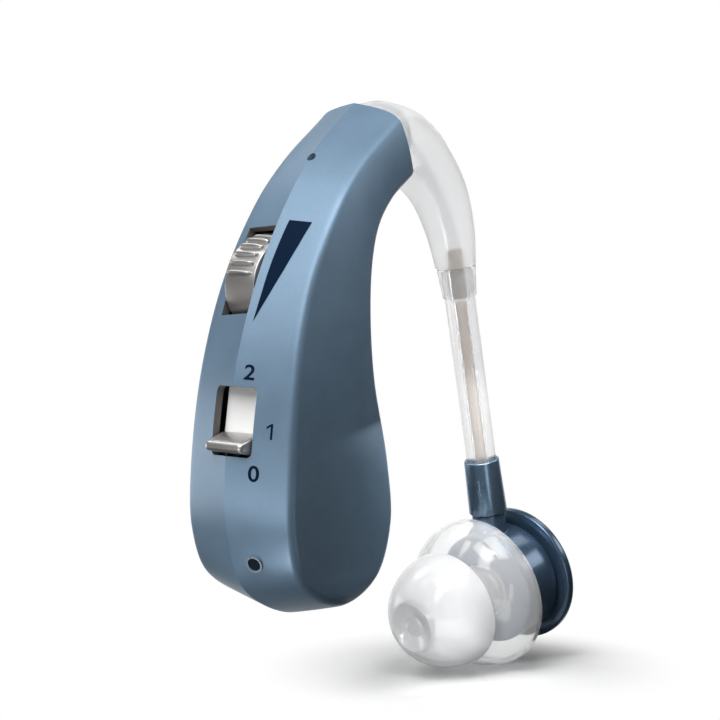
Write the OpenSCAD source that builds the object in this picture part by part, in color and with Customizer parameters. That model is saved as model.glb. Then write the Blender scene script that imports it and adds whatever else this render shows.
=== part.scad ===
/* [Housing] */
// Wall of the two housing shells
wall = 0.8; // [0.7:0.05:1]
// Round on the long edges between spine and flanks
edge_round = 0.7; // [0.4:0.1:1]
// How far the flanks bulge at their middle
flank_bulge = 0.25; // [0:0.05:0.4]
// Bore of the microphone port on the spine
mic_port_d = 0.9; // [0.6:0.1:1.2]

/* [Volume wheel] */
// Diameter over the ribs
wheel_d = 9; // [8.6:0.1:9]
// Width along the axle
wheel_w = 3.55; // [3:0.05:3.6]
// How far the rim stands out of the spine
wheel_proud = 0.8; // [0.5:0.1:0.9]
// Height of the ribs
rib_h = 0.3; // [0.2:0.05:0.4]
// Number of ribs
rib_count = 22; // [12:1:24]
// Angle from rib to rib
rib_pitch = 12.6; // [12:0.1:13]

/* [Mode switch] */
// Length of the slot along the spine
slot_l = 6; // [5.8:0.1:6.4]
// Width of the slot
slot_w = 4.8; // [4.4:0.1:5]
// Length of the thumb tab along the spine
tab_l = 1.9; // [1.6:0.1:2.2]
// Depth of the white shutter under the spine ridge
shutter_depth = 2; // [2:0.05:2.1]

/* [Hook and tube] */
// Outer diameter of the acoustic tube
tube_d = 2.85; // [2.7:0.05:3]
// Bore of the acoustic tube
tube_bore = 1.35; // [1.3:0.05:1.5]
// Lean of the tube from the vertical
tube_lean = 11.8; // [11:0.1:12.5]
// Length of the tube from the hook to the sleeve
tube_l = 19; // [18:0.5:19.5]

/* [Ear piece] */
// Diameter of the sound chamber
chamber_d = 10.7; // [10:0.1:11]
// Diameter of the rear cap
cap_d = 13; // [12.4:0.1:13.2]
// Diameter of the large dome of the ear tip
large_dome_d = 14.5; // [13:0.5:14.5]
// Diameter of the small dome of the ear tip
small_dome_d = 11; // [10:0.5:11]
// Thickness of the silicone domes
dome_t = 0.45; // [0.4:0.05:0.6]
// Diameter of the nozzle that the ear tip slides on
nozzle_d = 3.4; // [3:0.1:3.6]
// Tilt of the ear piece below the horizontal
ear_tilt = 12; // [10:0.5:13]

/* [Hidden] */
$fn = 48;

// Outline of the housing in its middle plane, from the top of the hook joint down the spine,
// round the bottom and up the belly: x, z, half width, crown, and 0 for a ridge to 1 for a round
rim = [
    [-4.5, 53.3, 4.8, 1.7, 0], [-9.4, 49.3, 4.9, 1.2, 0], [-13.4, 44.4, 5.2, 1.05, 0],
    [-17.1, 37.7, 5.5, 1.1, 0], [-19.7, 30.1, 5.9, 1.5, 0], [-20.9, 22.2, 6.2, 1.75, 0],
    [-20.6, 15.9, 6.2, 1.5, 0], [-18.3, 11, 6, 1.4, 0], [-12.2, 8.5, 6, 1.5, 0.3],
    [-6.6, 10.7, 5.7, 1.9, 0.9], [-4.1, 16, 5.5, 2, 1], [-4.6, 22.2, 5.5, 2, 1],
    [-6.1, 29.6, 5.3, 2, 1], [-6.2, 36.4, 5, 2, 1], [-5.2, 41.2, 4.7, 2, 1],
    [-3.2, 44, 4.4, 1.9, 1], [-0.6, 46, 4.3, 1.8, 1]];
rim_steps = 4;
rim_last = len(rim) - 1;
rim_n = rim_last * rim_steps;
edge_cols = 5;
flank_cols = 3;
end_blend = 4;

// Places along the rim, counted in outline points
mic_at = 1.17;
wheel_at = 2.82;
switch_at = 4.5;
lens_at = 6.4;

// Volume wheel
wheel_y = 0.15;
wheel_gap = 0.15;
wheel_slot_l = 8.3;
screw_d = 1.2;
screw_head_d = 2.6;
screw_head_h = 0.6;
wheel_recess_d = 3.2;
wheel_recess_h = 0.95;
control_d = 5.4;
board_y = -1.4;
board_t = 0.8;
rib_back = 0.3;
rib_l = 2.75;
rib_end = 0.2;

// Mode switch
slot_round = 0.5;
tab_rest = -1.85;
tab_proud = 0.45;
shutter_t = 0.4;
shutter_l = 5;
switch_h = 2.3;
stem_w = 0.9;
stem_h = 0.9;

// Hook: its upper edge x, z, its lower edge x, z, and its half width, from joint to tube
hook_rows = [[-0.3, 53.5, 0.3, 46.6, 4.2], [4.3, 51.7, 1.5, 46.2, 3.5],
    [7.2, 49.3, 3.5, 45.1, 3], [9.5, 46.4, 5.1, 43.6, 2.65], [11, 42.7, 6.6, 41.1, 2.3]];
hook_inset = 0.15;
hook_end_d = 3.84;
hook_steps = 4;
hook_bore = 1.1;
adapter_d = 3.4;
adapter_l = 2.6;
adapter_bore = 1.6;
adapter_t = 1;
fit = 0.04;
nipple_l = 3;
nipple_in = 1.6;
nipple_bore = 0.8;

// Tube axis from the hook down to the ear piece
tube_top = [9.7, 38.4];
ear_drop = 31.45;
collar_l = 2.8;
collar_d1 = 3.7;
collar_d2 = 3.2;
sleeve_l = 5.2;
sleeve_d1 = 3.35;
sleeve_d2 = 3.65;
sleeve_in = 1.2;
stem_d = 3.2;
spigot_d = 2.3;
spigot_l = 2.6;
stem_bore = 1.3;
ear_x = tube_top[0] + sin(tube_lean) * ear_drop;
ear_z = tube_top[1] - cos(tube_lean) * ear_drop;

// Ear piece, measured along its axis from the tube axis towards the tip
chamber_back = -2.4;
chamber_front = 2;
chamber_wall = 1;
cap_back = -3.7;
cap_front = -2.75;
groove_d = 9.4;
nozzle_end = 8;
nozzle_bore = 1.8;
collar_out = 5.2;
collar_end = 2.5;
tip_core_d = 5;
tip_back = 2.7;
tip_gap = 0.05;
large_rim = 2.5;
large_len = 5.6;
small_rim = 7.4;
small_len = 6.2;
front_ring_d = 4.8;
dish_d = 1.8;
dish_depth = 0.6;
dome_steps = 10;

// Inside the housing
lens_d = 1.2;
bezel_d = 1.5;
lens_y = -2.2;
battery_d = 11.6;
battery_t = 5.4;
battery_x = -12;
battery_z = 16.7;
lead_w = 1.2;
lead_t = 0.2;
lead_l = 8;
socket_d = 4;
socket_bore = 2.5;
socket_l = 5.8;
socket_depth = 5;
socket_at = [-12, 5.85, 28];
receiver_end = [-5.1, 47.1];
receiver_angle = 28;
receiver_l = 6.4;
receiver_h = 2.8;
receiver_w = 3.6;
cushion_t = 0.3;

shell_colour = [0.40, 0.50, 0.62];
dark_blue = [0.17, 0.24, 0.33];
clear_grey = [0.88, 0.89, 0.90];
silver = [0.75, 0.75, 0.74];
steel = [0.66, 0.67, 0.69];
rubber = [0.16, 0.16, 0.17];

// A smooth curve through the rows of a list, at row number t
function smooth(rows, t) =
    let (n = len(rows) - 1, i = min(floor(t), n - 1), f = t - i,
        b = rows[i], c = rows[i + 1],
        a = i > 0 ? rows[i - 1] : 2 * b - c,
        d = i + 2 <= n ? rows[i + 2] : 2 * c - b)
    0.5 * (2 * b + (c - a) * f + (2 * a - 5 * b + 4 * c - d) * f * f
        + (3 * b - a - 3 * c + d) * f * f * f);
function unit(v) = v / norm(v);
function lerp(a, b, k) = a * (1 - k) + b * k;

// Direction along the rim, and into the housing, at outline point t
function rim_dir(t) =
    let (n = len(rim) - 1, a = smooth(rim, max(t - 0.05, 0)), b = smooth(rim, min(t + 0.05, n)))
    unit([b[0] - a[0], b[1] - a[1]]);
joint_chord = unit([rim[rim_last][0] - rim[0][0], rim[rim_last][1] - rim[0][1]]);
function rim_in(t) =
    let (n = len(rim) - 1, d = rim_dir(t), own = [-d[1], d[0]],
        k = max(0, 1 - t * rim_steps / end_blend, 1 - (n - t) * rim_steps / end_blend),
        chord = t < n / 2 ? joint_chord : -joint_chord)
    unit(lerp(own, chord, k));

// One point of the rim's profile: depth under the outline and distance from the middle plane
function ridge_point(w, crown, j) =
    let (r = edge_round, a = [crown * (1 - r / w), w - r], b = [crown, w], c = [crown + r, w])
    j < 3 ? a * j / 2 :
        let (f = (j - 2) / 3) (1 - f) * (1 - f) * a + 2 * f * (1 - f) * b + f * f * c;
function round_point(w, crown, j) =
    [crown * (1 - cos(90 * j / edge_cols)), w * sin(90 * j / edge_cols)];
function profile(row, j, inset) =
    let (w = row[2] - inset, crown = row[3] * w / row[2])
    lerp(ridge_point(w, crown, j), round_point(w, crown, j), row[4]) + [inset, 0];

// Points of one half skin on the side of positive y
function rim_point(t, j, inset) =
    let (row = smooth(rim, t), n = rim_in(t), p = profile(row, j, inset))
    [row[0] + n[0] * p[0], p[1], row[1] + n[1] * p[0]];
function flank_point(i, k, inset) =
    let (f = k / (flank_cols + 1),
        a = rim_point(i / rim_steps, edge_cols, inset),
        b = rim_point((rim_n - i) / rim_steps, edge_cols, inset),
        span = norm(b - a))
    lerp(a, b, f) + [0, flank_bulge * min(1, span / 8) * 4 * f * (1 - f), 0];
function skin_points(inset) = concat(
    [for (i = [0:rim_n]) for (j = [0:edge_cols]) rim_point(i / rim_steps, j, inset)],
    [for (i = [0:rim_n / 2 - 1]) for (k = [1:flank_cols]) flank_point(i, k, inset)]);

// Numbers of those points: row i from spine to belly has the columns 0 to row_last
rim_w = edge_cols + 1;
flank_first = (rim_n + 1) * rim_w;
row_last = flank_cols + 1;
skin_n = flank_first + rim_n / 2 * flank_cols;
function rim_id(i, j) = i * rim_w + j;
function row_id(i, k) =
    k == 0 ? rim_id(i, edge_cols) :
    k == row_last ? rim_id(rim_n - i, edge_cols) :
    flank_first + i * flank_cols + k - 1;
function quad(a, b, c, d) = [[a, b, c], [a, c, d]];
skin_faces = concat(
    [for (i = [0:rim_n - 1]) for (j = [0:edge_cols - 1])
        each quad(rim_id(i, j), rim_id(i, j + 1), rim_id(i + 1, j + 1), rim_id(i + 1, j))],
    [for (i = [0:rim_n / 2 - 2]) for (k = [0:row_last - 1])
        each quad(row_id(i, k), row_id(i, k + 1), row_id(i + 1, k + 1), row_id(i + 1, k))],
    [for (k = [0:row_last - 1])
        [row_id(rim_n / 2 - 1, k), row_id(rim_n / 2 - 1, k + 1), row_id(rim_n / 2, 0)]]);

// The loop of point numbers round the open end, from the spine to the belly
end_loop = concat([for (j = [0:edge_cols]) rim_id(0, j)], [for (k = [1:flank_cols]) row_id(0, k)],
    [for (j = [edge_cols:-1:0]) rim_id(rim_n, j)]);

function flip(faces, add) = [for (f = faces) [f[2] + add, f[1] + add, f[0] + add]];

// Half of the housing as one thin shell, on the side of positive y
module half_shell() {
    walls = concat(
        skin_faces,
        flip(skin_faces, skin_n),
        [for (i = [0:rim_n - 1])
            each quad(rim_id(i, 0), rim_id(i + 1, 0), rim_id(i + 1, 0) + skin_n,
                rim_id(i, 0) + skin_n)],
        [for (i = [0:len(end_loop) - 2])
            each quad(end_loop[i + 1], end_loop[i], end_loop[i] + skin_n,
                end_loop[i + 1] + skin_n)]);
    polyhedron(concat(skin_points(0), skin_points(wall)), walls, convexity = 6);
}

// Moves children to outline point t: x runs up the spine, z points out of the housing
module on_rim(t) {
    row = smooth(rim, t);
    n = rim_in(t);
    translate([row[0], 0, row[1]]) rotate([0, atan2(-n[0], -n[1]), 0]) children();
}

// Moves children to the tube axis, s below the hook: z runs down the tube
module on_tube(s) {
    translate([tube_top[0] + sin(tube_lean) * s, 0, tube_top[1] - cos(tube_lean) * s])
        rotate([0, 180 - tube_lean, 0]) children();
}

// Moves children to the ear piece axis: z points to the tip
module on_ear(t) {
    translate([ear_x, 0, ear_z]) rotate([0, -90 - ear_tilt, 0]) translate([0, 0, t]) children();
}

// Moves children to the hook joint: z points out of the housing, x down the joint
module on_joint() {
    mid = (rim[0] + rim[rim_last]) / 2;
    translate([mid[0], 0, mid[1]])
        rotate([0, atan2(-joint_chord[1], joint_chord[0]), 0]) children();
}

module ring(d, bore, h) {
    difference() {
        cylinder(d = d, h = h);
        translate([0, 0, -1]) cylinder(d = bore, h = h + 2);
    }
}

// Openings that both shells share
module housing_openings() {
    on_rim(mic_at) translate([0, 0, -2]) cylinder(d = mic_port_d, h = 4, $fn = 24);
    on_rim(switch_at) translate([0, 0, -shutter_depth]) linear_extrude(4)
        offset(r = slot_round, $fn = 24)
            square([slot_l - 2 * slot_round, slot_w - 2 * slot_round], center = true);
}

module shell_right() {
    color(shell_colour) difference() {
        mirror([0, 1, 0]) half_shell();
        housing_openings();
        on_lens() translate([0, 0, -2]) cylinder(d = bezel_d, h = 4);
    }
}

module shell_left() {
    color(shell_colour) difference() {
        half_shell();
        housing_openings();
        on_rim(wheel_at) translate([-wheel_slot_l / 2, -1, -3])
            cube([wheel_slot_l, wheel_y + wheel_w + wheel_gap + 1, 6]);
        on_socket() translate([0, 0, -2]) cylinder(d = socket_d, h = 4);
    }
}

// Rounded rib along the wheel's rim, with tapered ends
module rib() {
    translate([wheel_d / 2 - rib_h, 0, rib_back]) rotate_extrude($fn = 16)
        polygon([[0, 0], [rib_h - rib_end, 0], [rib_h, rib_end], [rib_h, rib_l - rib_end],
            [rib_h - rib_end, rib_l], [0, rib_l]]);
}

module volume_wheel() {
    r = wheel_d / 2 - rib_h;
    color(silver) on_rim(wheel_at) translate([0, wheel_y, wheel_proud - wheel_d / 2])
        rotate([-90, 0, 0]) difference() {
            union() {
                rotate_extrude($fn = 72) polygon([[0, 0], [r - 0.2, 0], [r, 0.2],
                    [r, wheel_w - 0.2], [r - 0.2, wheel_w], [0, wheel_w]]);
                for (i = [0:rib_count - 1]) rotate([0, 0, -99 + i * rib_pitch]) rib();
            }
            translate([0, 0, -1]) cylinder(d = screw_d + 2 * fit, h = wheel_w + 2, $fn = 24);
            translate([0, 0, wheel_w - wheel_recess_h]) cylinder(d = wheel_recess_d, h = 2);
        }
}

// Moves children to the wheel's axis at y = 0: z runs along positive y
module on_wheel_axis() {
    on_rim(wheel_at) translate([0, 0, wheel_proud - wheel_d / 2]) rotate([-90, 0, 0]) children();
}

module wheel_screw() {
    head_y = wheel_y + wheel_w - wheel_recess_h + fit;
    color(steel) on_wheel_axis() union() {
        translate([0, 0, board_y]) cylinder(d = screw_d, h = head_y - board_y + 0.1, $fn = 24);
        difference() {
            translate([0, 0, head_y]) cylinder(d = screw_head_d, h = screw_head_h);
            translate([-2, -0.2, head_y + 0.3]) cube([4, 0.4, 1]);
        }
    }
}

module volume_control() {
    top = wheel_y - 0.1;
    color(rubber) on_wheel_axis() translate([0, 0, board_y + board_t])
        ring(control_d, screw_d, top - board_y - board_t);
}

// Outline of the board: down inside the spine and back up inside the belly
module board_outline() {
    from = 2.35;
    to = 3.9;
    steps = 6;
    function inside(t, depth) = let (r = smooth(rim, t), n = rim_in(t)) [r[0], r[1]] + n * depth;
    spine = [for (i = [0:steps]) inside(lerp(from, to, i / steps), 1.5)];
    belly = [for (i = [steps:-1:0]) inside(rim_last - lerp(from, to, i / steps), 1.3)];
    polygon(concat(spine, belly));
    translate([-14.1, 23.4]) square([1.6, 9]);
}

module circuit_board() {
    color([0.10, 0.35, 0.20]) difference() {
        translate([0, board_y + board_t, 0]) rotate([90, 0, 0])
            linear_extrude(board_t) board_outline();
        on_wheel_axis() translate([0, 0, -3]) cylinder(d = screw_d, h = 4, $fn = 24);
        on_rim(switch_at) translate([0, -3, -shutter_depth - shutter_t - 0.3]) cube([7.2, 6, 3]);
    }
}

module board_chips() {
    color(rubber) {
        translate([-13.4, board_y - 1.1, 33]) cube([4, 1.1, 3.4]);
        translate([-12.6, board_y - 0.7, 38.6]) cube([2.4, 0.7, 1.6]);
        translate([-9, board_y - 0.5, 34.2]) cube([1.2, 0.5, 0.6]);
        translate([-9, board_y - 0.5, 36]) cube([1.2, 0.5, 0.6]);
    }
}

// Thumb tab, its white shutter and the stem that drives the switch
module mode_switch() {
    floor_z = -shutter_depth;
    tab_w = slot_w - 0.3;
    on_rim(switch_at) translate([tab_rest, 0, 0]) {
        color(silver) hull() {
            for (side = [-1, 1]) {
                translate([0, side * (tab_w / 2 - 0.3), floor_z]) intersection() {
                    translate([0, 0, 0.02]) rotate([0, 90, 0])
                        cylinder(r = 0.3, h = tab_l, center = true, $fn = 16);
                    translate([-2, -1, 0]) cube([4, 2, 1]);
                }
                translate([-0.35, side * (tab_w / 2 - 0.45), tab_proud - 0.4])
                    sphere(r = 0.4, $fn = 16);
            }
        }
        color("white") translate([-tab_l / 2, -tab_w / 2, floor_z - shutter_t])
            cube([tab_l / 2 + shutter_l, tab_w, shutter_t]);
        color("white") translate([-stem_w / 2, -stem_w / 2, floor_z - shutter_t - stem_h])
            cube([stem_w, stem_w, stem_h + 0.1]);
    }
}

module switch_body() {
    top = -shutter_depth - shutter_t - 0.1;
    color([0.82, 0.82, 0.80]) on_rim(switch_at) difference() {
        translate([-3.8, -2.4, top - switch_h]) cube([7.6, 4.8, switch_h]);
        translate([-3, -0.6, top - 1.1]) cube([6, 1.2, 2]);
    }
}

module switch_pins() {
    back = -shutter_depth - shutter_t - 0.1 - switch_h;
    color(steel) on_rim(switch_at) for (i = [-1:1])
        translate([i * 2 - 0.2, -0.15, back - 0.7]) cube([0.4, 0.3, 0.7]);
}

module mic_gasket() {
    color(rubber) on_rim(mic_at) translate([0, 0, -1.75]) ring(2, mic_port_d, 0.6);
}

module microphone() {
    color(steel) on_rim(mic_at) difference() {
        translate([-1.7, -1.3, -2.95]) cube([3.4, 2.6, 1.2]);
        translate([0, 0, -2.3]) cylinder(d = 0.6, h = 2, $fn = 24);
    }
}

module on_lens() {
    on_rim(lens_at) translate([0, lens_y, -0.5]) rotate([13, 0, 0]) children();
}

module indicator_bezel() {
    color(silver) on_lens() translate([0, 0, -0.9]) ring(bezel_d, lens_d, 1.1);
}

module indicator_lens() {
    color(dark_blue) on_lens() translate([0, 0, -0.9]) cylinder(d = lens_d, h = 1);
}

module indicator_led() {
    color([0.9, 0.9, 0.85]) on_lens() translate([-0.5, -0.3, -1.4]) cube([1, 0.6, 0.5]);
}

module battery() {
    color(steel) translate([battery_x, -battery_t / 2, battery_z]) rotate([-90, 0, 0]) union() {
        rotate_extrude() polygon([[0, 0], [battery_d / 2 - 0.3, 0], [battery_d / 2, 0.3],
            [battery_d / 2, battery_t - 1.2], [battery_d / 2 - 0.5, battery_t - 0.5],
            [0, battery_t - 0.5]]);
        cylinder(d = battery_d - 2.4, h = battery_t);
    }
}

// Two nickel tabs from the faces of the cell up and across to the board's tail
module battery_leads() {
    face = battery_t / 2 + 0.01;
    color(silver) translate([battery_x - 1.8, 0, battery_z]) {
        translate([0, face, 0]) cube([lead_w, lead_t, lead_l]);
        translate([0, board_y + board_t, lead_l - lead_t])
            cube([lead_w, face + lead_t - board_y - board_t, lead_t]);
        translate([0, -face - lead_t, 0]) cube([lead_w, lead_t, lead_l]);
        translate([0, -face - lead_t, lead_l - lead_t]) cube([lead_w, face + lead_t + board_y, lead_t]);
    }
}

// Moves children to the mouth of the charging socket on the left flank: z points out
module on_socket() {
    translate(socket_at) rotate([-90, 0, 0]) children();
}

module charging_socket() {
    color(rubber) on_socket() difference() {
        translate([0, 0, -socket_l]) cylinder(d = socket_d, h = socket_l);
        translate([0, 0, -socket_depth]) cylinder(d = socket_bore, h = socket_l);
    }
}

// Moves children to the receiver's back: z runs up to the hook joint
module on_receiver() {
    translate([receiver_end[0], 0, receiver_end[1]]) rotate([0, receiver_angle, 0])
        translate([0, 0, -receiver_l]) children();
}

module receiver() {
    color(steel) on_receiver()
        translate([-receiver_h / 2, -receiver_w / 2, 0]) cube([receiver_h, receiver_w, receiver_l]);
}

module receiver_cushion() {
    h = receiver_h + 2 * cushion_t;
    w = receiver_w + 2 * cushion_t;
    color(rubber) on_receiver() difference() {
        translate([-h / 2, -w / 2, receiver_l - 2]) cube([h, w, 2.5]);
        translate([-receiver_h / 2, -receiver_w / 2, receiver_l - 3]) cube([receiver_h, receiver_w, 3]);
        cylinder(d = 1.6, h = 12, $fn = 24);
    }
}

// A bent tube from the receiver's mouth to the adapter's stub
module receiver_bend(d, over) {
    hull() {
        on_receiver() translate([0, 0, receiver_l + 0.02 - over]) cylinder(d = d, h = 0.1, $fn = 24);
        on_joint() translate([0, 0, -adapter_t - 1.12 + over]) cylinder(d = d, h = 0.1, $fn = 24);
    }
}

module receiver_tube() {
    color(clear_grey) difference() {
        receiver_bend(1.6, 0);
        receiver_bend(0.8, 0.12);
    }
}

// Outline of the hook joint in its own plane, as a closed list of x, y
function joint_half(inset) =
    let (h = norm([rim[rim_last][0] - rim[0][0], rim[rim_last][1] - rim[0][1]]) / 2)
    concat(
        [for (j = [0:edge_cols]) let (p = profile(rim[0], j, inset)) [p[0] - h, p[1]]],
        [for (k = [1:flank_cols]) let (f = k / (flank_cols + 1),
            a = profile(rim[0], edge_cols, inset), b = profile(rim[rim_last], edge_cols, inset))
            [lerp(a[0] - h, h - b[0], f), lerp(a[1], b[1], f) + flank_bulge * 4 * f * (1 - f)]],
        [for (j = [edge_cols:-1:0]) let (p = profile(rim[rim_last], j, inset)) [h - p[0], p[1]]]);
function joint_outline(inset) =
    let (half = joint_half(inset), n = len(half))
    concat(half, [for (i = [n - 2:-1:1]) [half[i][0], -half[i][1]]]);

module hook_adapter() {
    color(clear_grey) on_joint() difference() {
        union() {
            translate([0, 0, -adapter_t]) linear_extrude(adapter_t)
                polygon(joint_outline(wall + 0.3));
            translate([0, 0, -0.1]) cylinder(d = adapter_d, h = adapter_l + 0.1);
            translate([0, 0, -adapter_t - 1]) cylinder(d = adapter_bore + 1.2, h = 1.1);
        }
        translate([0, 0, -4]) cylinder(d = adapter_bore, h = 8, $fn = 32);
    }
}

// The hook's rows with the joint before them and the tube's round end after them
joint_n = len(joint_outline(0));
hook_path = concat(
    [[rim[0][0] + joint_chord[0] * hook_inset, rim[0][1] + joint_chord[1] * hook_inset,
        rim[rim_last][0] - joint_chord[0] * hook_inset, rim[rim_last][1] - joint_chord[1] * hook_inset,
        rim[0][2] - hook_inset]],
    hook_rows,
    [let (r = hook_end_d / 2, c = cos(tube_lean) * r, s = sin(tube_lean) * r)
        [tube_top[0] + c, tube_top[1] + s, tube_top[0] - c, tube_top[1] - s, r]]);
hook_n = (len(hook_path) - 1) * hook_steps;

// One ring of the hook's skin: the joint's outline at the housing, a circle further on
function hook_mid(row) = [row[0] + row[2], row[1] + row[3]] / 2;
function hook_ring(t) =
    let (row = smooth(hook_path, t), mid = hook_mid(row), half = [row[2], row[3]] - mid,
        k = min(1, t / 3), mix = k * k * (3 - 2 * k), flat = joint_outline(hook_inset),
        top = -flat[0][0], side = max([for (p = flat) p[1]]))
    [for (i = [0:joint_n - 1])
        let (a = 360 * i / joint_n, p = [flat[i][0] / top, flat[i][1] / side],
            q = lerp(p, [-cos(a), sin(a)], mix))
        [mid[0] + half[0] * q[0], q[1] * row[4], mid[1] + half[1] * q[0]]];
function bore_ring(t) =
    let (row = smooth(hook_path, t), mid = hook_mid(row),
        down = unit([row[2], row[3]] - mid), r = hook_bore / 2)
    [for (i = [0:joint_n - 1]) let (a = 360 * i / joint_n, x = -r * cos(a), y = r * sin(a))
        [mid[0] + down[0] * x, y, mid[1] + down[1] * x]];

// The hook as one tapering tube from the joint to the acoustic tube
module hook_skin() {
    outer = [for (i = [0:hook_n]) each hook_ring(i / hook_steps)];
    inner = [for (i = [0:hook_n]) each bore_ring(i / hook_steps)];
    m = len(outer);
    function id(i, k) = i * joint_n + k % joint_n;
    faces = concat(
        [for (i = [0:hook_n - 1]) for (k = [0:joint_n - 1])
            each quad(id(i, k), id(i + 1, k), id(i + 1, k + 1), id(i, k + 1))],
        [for (i = [0:hook_n - 1]) for (k = [0:joint_n - 1])
            each quad(m + id(i, k), m + id(i, k + 1), m + id(i + 1, k + 1), m + id(i + 1, k))],
        [for (k = [0:joint_n - 1])
            each quad(id(0, k), id(0, k + 1), m + id(0, k + 1), m + id(0, k))],
        [for (k = [0:joint_n - 1])
            each quad(id(hook_n, k + 1), id(hook_n, k), m + id(hook_n, k), m + id(hook_n, k + 1))]);
    polyhedron(concat(outer, inner), faces, convexity = 6);
}

module ear_hook() {
    color(clear_grey) difference() {
        hook_skin();
        on_joint() cylinder(d = adapter_d, h = adapter_l + 0.1);
        on_tube(-nipple_in) cylinder(d = tube_bore, h = nipple_in + 1);
    }
}

// Stiff nipple in the end of the hook, which the acoustic tube is pushed over
module tube_nipple() {
    color([0.62, 0.60, 0.57]) on_tube(-nipple_in) ring(tube_bore, nipple_bore, nipple_in + nipple_l);
}

module acoustic_tube() {
    color(clear_grey) on_tube(0.2) ring(tube_d, tube_bore, tube_l + sleeve_in - 0.2);
}

module tube_collar() {
    color(clear_grey) on_tube(0.15) difference() {
        cylinder(d1 = collar_d1, d2 = collar_d2, h = collar_l, $fn = 96);
        translate([0, 0, -1]) cylinder(d = tube_d, h = collar_l + 2, $fn = 96);
    }
}

module tube_sleeve() {
    color(shell_colour) on_tube(tube_l) difference() {
        cylinder(d1 = sleeve_d1, d2 = sleeve_d2, h = sleeve_l);
        translate([0, 0, -1]) cylinder(d = tube_d, h = 1 + sleeve_in);
        cylinder(d = spigot_d + 2 * fit, h = sleeve_l + 1);
    }
}

module earpiece_body() {
    stem_top = tube_l + sleeve_l + 0.1;
    color(dark_blue) difference() {
        union() {
            on_ear(chamber_back) rotate_extrude($fn = 72) polygon([[0, 0],
                [chamber_d / 2 - 0.2, 0], [chamber_d / 2, 0.2],
                [chamber_d / 2, chamber_front - chamber_back - 0.3],
                [chamber_d / 2 - 0.3, chamber_front - chamber_back],
                [0, chamber_front - chamber_back]]);
            on_tube(stem_top) cylinder(d = stem_d, h = ear_drop - stem_top - 3.5);
            on_tube(stem_top - spigot_l) cylinder(d = spigot_d, h = spigot_l + 1);
        }
        on_ear(chamber_back - 1) cylinder(d = chamber_d - 2 * chamber_wall,
            h = chamber_front - chamber_back);
        on_ear(0) cylinder(d = nozzle_d, h = chamber_front + 1);
        on_tube(stem_top - spigot_l - 1) cylinder(d = stem_bore, h = 9, $fn = 32);
    }
}

module earpiece_cap() {
    plug = chamber_d - 2 * chamber_wall - 0.04;
    color(dark_blue) on_ear(0) rotate_extrude($fn = 72) polygon([[0, cap_back + 0.4],
        [cap_d / 2 - 1.6, cap_back], [cap_d / 2 - 0.5, cap_back], [cap_d / 2, cap_back + 0.5],
        [cap_d / 2, cap_front - 0.15], [cap_d / 2 - 0.15, cap_front], [groove_d / 2, cap_front],
        [groove_d / 2, chamber_back - 0.01], [plug / 2, chamber_back - 0.01],
        [plug / 2, chamber_back + 0.6], [0, chamber_back + 0.6]]);
}

module nozzle() {
    color([0.85, 0.86, 0.87]) on_ear(0) difference() {
        union() {
            translate([0, 0, chamber_front - 1]) cylinder(d = nozzle_d, h = nozzle_end - chamber_front + 1);
            translate([0, 0, chamber_front + 0.01]) cylinder(d = collar_out, h = collar_end - chamber_front);
        }
        cylinder(d = nozzle_bore, h = nozzle_end + 1);
    }
}

module wax_guard() {
    color("white") on_ear(nozzle_end - 0.8) difference() {
        cylinder(d = nozzle_bore, h = 0.8, $fn = 24);
        for (i = [0:5]) rotate([0, 0, 60 * i]) translate([0.5, 0, -1])
            cylinder(d = 0.3, h = 3, $fn = 16);
        translate([0, 0, -1]) cylinder(d = 0.3, h = 3, $fn = 16);
    }
}

// Half an ellipse from the rim of a dome towards its pole, as r, t
function dome_arc(r, rim_at, len_, r_end) =
    let (last = acos(r_end / r))
    [for (i = [0:dome_steps]) let (a = last * i / dome_steps) [r * cos(a), rim_at + len_ * sin(a)]];
function reversed(list) = [for (i = [len(list) - 1:-1:0]) list[i]];

module ear_tip() {
    core = tip_core_d / 2;
    bore = nozzle_d / 2 + tip_gap;
    ring_r = front_ring_d / 2;
    large = dome_arc(large_dome_d / 2, large_rim, large_len, core);
    large_in = dome_arc(large_dome_d / 2 - dome_t, large_rim, large_len - dome_t, core);
    small = dome_arc(small_dome_d / 2, small_rim, small_len, ring_r);
    small_in = dome_arc(small_dome_d / 2 - dome_t, small_rim, small_len - dome_t, core);
    color(clear_grey) on_ear(0) rotate_extrude($fn = 72) polygon(concat(
        [[bore, tip_back], [core, tip_back]], reversed(large_in), large, reversed(small_in), small,
        [[dish_d / 2, small[dome_steps][1] - dish_depth], [dish_d / 2, nozzle_end + 0.1],
            [bore, nozzle_end + 0.1]]));
}

shell_right();
shell_left();
volume_wheel();
wheel_screw();
volume_control();
mode_switch();
switch_body();
switch_pins();
microphone();
mic_gasket();
indicator_lens();
indicator_bezel();
indicator_led();
circuit_board();
board_chips();
battery();
battery_leads();
charging_socket();
receiver();
receiver_cushion();
receiver_tube();
hook_adapter();
ear_hook();
tube_nipple();
acoustic_tube();
tube_collar();
tube_sleeve();
earpiece_body();
earpiece_cap();
nozzle();
wax_guard();
ear_tip();
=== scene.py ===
import math

import bmesh
import bpy
from bpy.props import FloatProperty, FloatVectorProperty, IntProperty, PointerProperty
from mathutils import Matrix, Vector


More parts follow.
